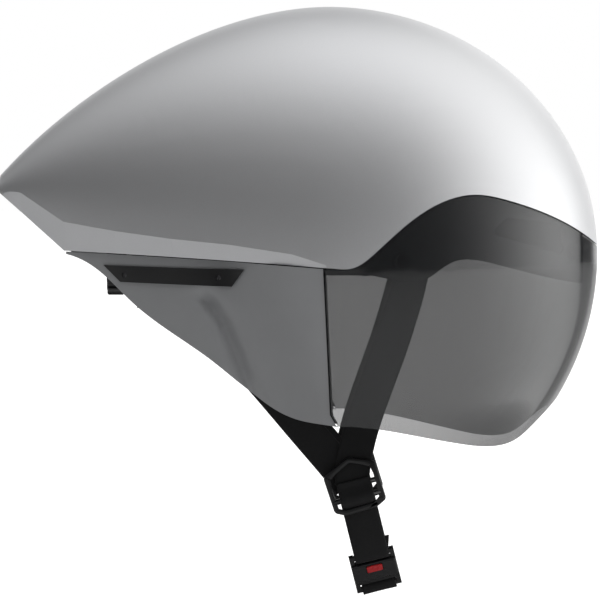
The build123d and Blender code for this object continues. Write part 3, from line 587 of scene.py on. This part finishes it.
for hand, side in (("right", -1), ("left", 1)):
    d = seamShadeSizes
    panel = frame["nodes"][f"lower_shell_{hand}"]
    heights = [d["top"] + (d["bottom"] - d["top"]) * k / d["steps"]
               for k in range(d["steps"] + 1)]
    edges = [(panelEdge(panel, side, z), z) for z in heights]
    edges = [(place, z) for place, z in edges if place]
    bm = bmesh.new()
    bmesh.ops.create_grid(bm, x_segments=3, y_segments=len(edges) - 1, size=0.5)
    for vert in bm.verts:
        (x, y), z = edges[round((vert.co.y + 0.5) * (len(edges) - 1))]
        across = (vert.co.x + 0.5) * (d["behind"] + d["ahead"]) - d["behind"]
        inside = d["panelWall"] + d["thickness"] / 2
        vert.co = Vector((x + across, y - side * inside, z)) * mm
    # the dark strip in the seam is painted shade
    shadeStrip = makePiece(f"panelSeamShade.{hand}", bm, finishes["rubber"], "helmet")
    thicken(shadeStrip, d["thickness"])
print("seamShades fitted")

# side panels: the ear bulge rises from the rear wing, past a shallow valley
panelForm = dict(valley=((-79.5, -14.0), (-78.8, -18.0), (-69.0, -33.0), (-61.5, -50.6),
                         (-53.0, -70.0), (-46.0, -92.0)), depth=7.0, width=5.5,
                 fadeTop=-11.0, fadeLow=-22.0, grain=3.0, divisions=4, crease=40)


def valleyAt(z):
    # how far forward the valley's floor is at that height
    valley = panelForm["valley"]
    for (x1, z1), (x2, z2) in zip(valley, valley[1:]):
        if z2 <= z <= z1:
            return x1 + (x2 - x1) * (z1 - z) / (z1 - z2)
    return valley[0][0] if z > valley[0][1] else valley[-1][0]


def panelDip(place):
    d = panelForm
    x, z = place.x / mm, place.z / mm
    fade = min(1, max(0, (d["fadeTop"] - z) / (d["fadeTop"] - d["fadeLow"])))
    return d["depth"] * fade * fade * (3 - 2 * fade) * math.exp(
        -((x - valleyAt(z)) / d["width"]) ** 2)


def mouldedCopy(name, node, finish, move):
    # a copy of a solid's mesh, merged, divided finely enough and pushed into its form
    bm = bmesh.new()
    bm.from_mesh(frame["nodes"][node].data)
    bmesh.ops.remove_doubles(bm, verts=bm.verts[:], dist=mergeDistance)
    for _ in range(panelForm["divisions"]):
        long = [e for e in bm.edges if e.calc_length() > panelForm["grain"] * mm]
        bmesh.ops.subdivide_edges(bm, edges=long, cuts=1)
        bmesh.ops.triangulate(bm, faces=[f for f in bm.faces if len(f.verts) > 3])
    for vert in bm.verts:
        move(vert)
    bm.normal_update()
    piece = makePiece(name, bm, finish, "helmet", (node,))
    # the solid's own normals don't fit the new form
    if piece.data.has_custom_normals:
        piece.data.attributes.remove(piece.data.attributes["custom_normal"])
    piece.data.set_sharp_from_angle(angle=math.radians(panelForm["crease"]))


for hand, side in (("right", -1), ("left", 1)):
    def pushIn(vert):
        vert.co.y -= side * panelDip(vert.co) * mm

    mouldedCopy(f"sidePanel.{hand}", f"lower_shell_{hand}", finishes["panel_shell"],
                pushIn)
print("side panels moulded")

# pads: each starts as its solid, is remeshed, rounded into a crowned pad and quilted; a
# channel is the axis that it crosses and its place along it
padPieces = (
    dict(name="browPad", node="brow_pad", body="helmet", voxel=1.3, smooth=14, fill=0.7,
         channels=[(1, y) for y in (-45, -15, 15, 45)]),
    dict(name="crownPads", node="crown_pads", body="helmet", voxel=1.4, smooth=14, fill=0.7,
         channels=[(0, x) for x in (-18, 18)]),
    dict(name="napePads", node="nape_pads", body="cradle", voxel=1.0, smooth=10, fill=0.6,
         channels=[(1, y) for y in (-16, 16)]))
quilting = dict(swell=0.45, channelDepth=1.0, channelWidth=1.6, smoothing=0.5)


def quiltedPad(settings):
    source = frame["nodes"][settings["node"]]
    bm = bmesh.new()
    bm.from_mesh(source.data)
    bmesh.ops.remove_doubles(bm, verts=bm.verts[:], dist=mergeDistance)
    pad = makePiece(settings["name"], bm, finishes["pad_cloth"], None)
    remesh = pad.modifiers.new("remesh", "REMESH")
    remesh.mode = "VOXEL"
    remesh.voxel_size = settings["voxel"] * mm
    shape = bpy.data.meshes.new_from_object(
        pad.evaluated_get(bpy.context.evaluated_depsgraph_get()))
    pad.modifiers.remove(remesh)
    bm = bmesh.new()
    bm.from_mesh(shape)
    for _ in range(settings["smooth"]):
        bmesh.ops.smooth_vert(bm, verts=bm.verts[:], factor=quilting["smoothing"],
                              use_axis_x=True, use_axis_y=True, use_axis_z=True)
    bm.normal_update()
    width = quilting["channelWidth"] * mm
    for vert in bm.verts:
        dip = sum(math.exp(-((vert.co[axis] - at * mm) / width) ** 2)
                  for axis, at in settings["channels"])
        rise = quilting["swell"] - quilting["channelDepth"] * min(dip, 1)
        vert.co += vert.normal * rise * mm
    old = pad.data
    bm.to_mesh(shape)
    bm.free()
    shape.materials.clear()
    shape.materials.append(finishes["pad_cloth"])
    shape.shade_smooth()
    pad.data = shape
    bpy.data.meshes.remove(old)
    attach(pad, settings["body"])
    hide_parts(settings["node"])


for settings in padPieces:
    quiltedPad(settings)
print("pads sewn")


# stage, light and camera

stage = dict(floorDrop=0.2005, floorHalf=14.0, floorColor=0.66, floorRoughness=0.8,
             cameraGlow=0.8, mirrorGlow=0.6, mirrorNearest=0.3, worldDim=0.35)
tent = dict(radius=7.0, horizon=0.045, sky=1.1, skyPower=2.3, front=2.6, frontPower=6.0,
            frontEdge=0.5, frontFade=0.06, back=0.95, backFrom=0.72, backTo=0.9, brow=0.36,
            browPower=4.0, browAhead=0.75, browUp=0.66)


def whiteWorld():
    # white behind everything, also where metal and the lens show it
    world = bpy.data.worlds.new("studio")
    bpy.context.scene.world = world
    world.use_nodes = True
    tree = world.node_tree
    back = tree.nodes["Background"]
    back.inputs["Color"].default_value = (1, 1, 1, 1)
    path = tree.nodes.new("ShaderNodeLightPath")
    total = path.outputs["Is Camera Ray"]
    for name in ("Is Glossy Ray", "Is Transmission Ray"):
        either = tree.nodes.new("ShaderNodeMath")
        either.operation = "MAXIMUM"
        tree.links.new(total, either.inputs[0])
        tree.links.new(path.outputs[name], either.inputs[1])
        total = either.outputs[0]
    level = tree.nodes.new("ShaderNodeMapRange")
    tree.links.new(total, level.inputs["Value"])
    level.inputs["To Min"].default_value = stage["worldDim"]
    level.inputs["To Max"].default_value = 1
    tree.links.new(level.outputs["Result"], back.inputs["Strength"])


def stagePiece(name, bm, material):
    mesh = bpy.data.meshes.new(name)
    bm.to_mesh(mesh)
    bm.free()
    mesh.materials.append(material)
    mesh.shade_smooth()
    piece = bpy.data.objects.new(name, mesh)
    bpy.context.collection.objects.link(piece)
    return piece


def lobe(material, share, power, strength):
    # a soft patch of light, brightest where the share is 1
    base = calc(material, "MAXIMUM", share, 0.0)
    return calc(material, "MULTIPLY", calc(material, "POWER", base, power), strength)


def frontLight(material, x, y):
    # bright ahead of the object, ending in a fairly sharp line on the far side
    edge = remap(material, y, tent["frontEdge"] - tent["frontFade"], tent["frontEdge"],
                 1, 0)
    ahead = lobe(material, x, tent["frontPower"], tent["front"])
    return calc(material, "MULTIPLY", ahead, edge)


def paleFloor():
    bm = bmesh.new()
    bmesh.ops.create_grid(bm, x_segments=2, y_segments=2, size=stage["floorHalf"])
    bmesh.ops.translate(bm, verts=bm.verts[:], vec=(0, 0, -stage["floorDrop"]))
    material, shader = newMaterial("paleFloor", (stage["floorColor"],) * 3,
                                   stage["floorRoughness"])
    shader.inputs["Emission Color"].default_value = (1, 1, 1, 1)
    path = addNode(material, "LightPath")
    seen = calc(material, "MAXIMUM", path.outputs["Is Camera Ray"],
                path.outputs["Is Transmission Ray"])
    # metal and the lens see the front light carried on over the floor
    x, y = axisOf(material, "X"), axisOf(material, "Y")
    away = calc(material, "SQRT", calc(material, "ADD", calc(material, "MULTIPLY", x, x),
                calc(material, "MULTIPLY", y, y)))
    away = calc(material, "MAXIMUM", away, stage["mirrorNearest"])
    ahead = frontLight(material, calc(material, "DIVIDE", x, away),
                       calc(material, "DIVIDE", y, away))
    mirror = calc(material, "MULTIPLY", ahead, path.outputs["Is Glossy Ray"])
    mirror = calc(material, "MULTIPLY", mirror, stage["mirrorGlow"])
    glow = calc(material, "MULTIPLY", seen, stage["cameraGlow"])
    join(material, calc(material, "ADD", glow, mirror), shader.inputs["Emission Strength"])
    stagePiece("floor", bm, material)


def lightTent():
    # a soft tent that lights the object: dim at the sides, bright above, in front and
    # low on the far side
    bm = bmesh.new()
    bmesh.ops.create_uvsphere(bm, u_segments=48, v_segments=24, radius=tent["radius"])
    material = bpy.data.materials.new("tentCloth")
    material.use_nodes = True
    tree = material.node_tree
    tree.nodes.remove(tree.nodes["Principled BSDF"])
    glow = tree.nodes.new("ShaderNodeEmission")
    x, y, z = (calc(material, "DIVIDE", axisOf(material, name), tent["radius"])
               for name in "XYZ")
    above = remap(material, lobe(material, z, tent["skyPower"], 1.0), 0, 1,
                  tent["horizon"], tent["sky"])
    back = remap(material, y, tent["backFrom"], tent["backTo"], 0, tent["back"])
    raised = calc(material, "ADD", calc(material, "MULTIPLY", x, tent["browAhead"]),
                  calc(material, "MULTIPLY", z, tent["browUp"]))
    front = calc(material, "ADD", frontLight(material, x, y),
                 lobe(material, raised, tent["browPower"], tent["brow"]))
    total = calc(material, "ADD", calc(material, "MAXIMUM", above, back), front)
    join(material, total, glow.inputs["Strength"])
    join(material, glow.outputs["Emission"],
         tree.nodes["Material Output"].inputs["Surface"])
    dome = stagePiece("lightTent", bm, material)
    dome.visible_camera = False
    dome.visible_shadow = False
    dome.visible_transmission = False


def softLight(name, place, aim, size, power):
    lamp = bpy.data.lights.new(name, "AREA")
    lamp.shape = "RECTANGLE"
    lamp.size, lamp.size_y = size
    lamp.energy = power
    holder = bpy.data.objects.new(name, lamp)
    bpy.context.collection.objects.link(holder)
    holder.location = place
    facing = Vector(aim) - Vector(place)
    holder.rotation_euler = facing.to_track_quat("-Z", "Y").to_euler()
    holder.visible_glossy = False


# the frame's width is what the picture spans at the object; rise is in degrees
cameraSettings = dict(aim=Vector((-0.0259, 0, -0.02185)), away=3.0, rise=1.9,
                      frameWidth=0.345, sensorWidth=36, farthest=100)


def photoCamera():
    c = cameraSettings
    rise = math.radians(c["rise"])
    lens = bpy.data.cameras.new("camera")
    lens.sensor_width = c["sensorWidth"]
    lens.lens = lens.sensor_width * c["away"] / c["frameWidth"]
    lens.clip_end = c["farthest"]
    holder = bpy.data.objects.new("camera", lens)
    bpy.context.collection.objects.link(holder)
    holder.location = c["aim"] + c["away"] * Vector((0, -math.cos(rise), math.sin(rise)))
    holder.rotation_euler = (math.pi / 2 - rise, 0, 0)
    bpy.context.scene.camera = holder


whiteWorld()
paleFloor()
lightTent()
softLight("overhead", place=(0.8, -0.6, 2.4), aim=(0, 0, 0), size=(1.6, 1.6), power=10)
photoCamera()
bpy.context.scene.view_settings.view_transform = "Standard"
print("stage set")
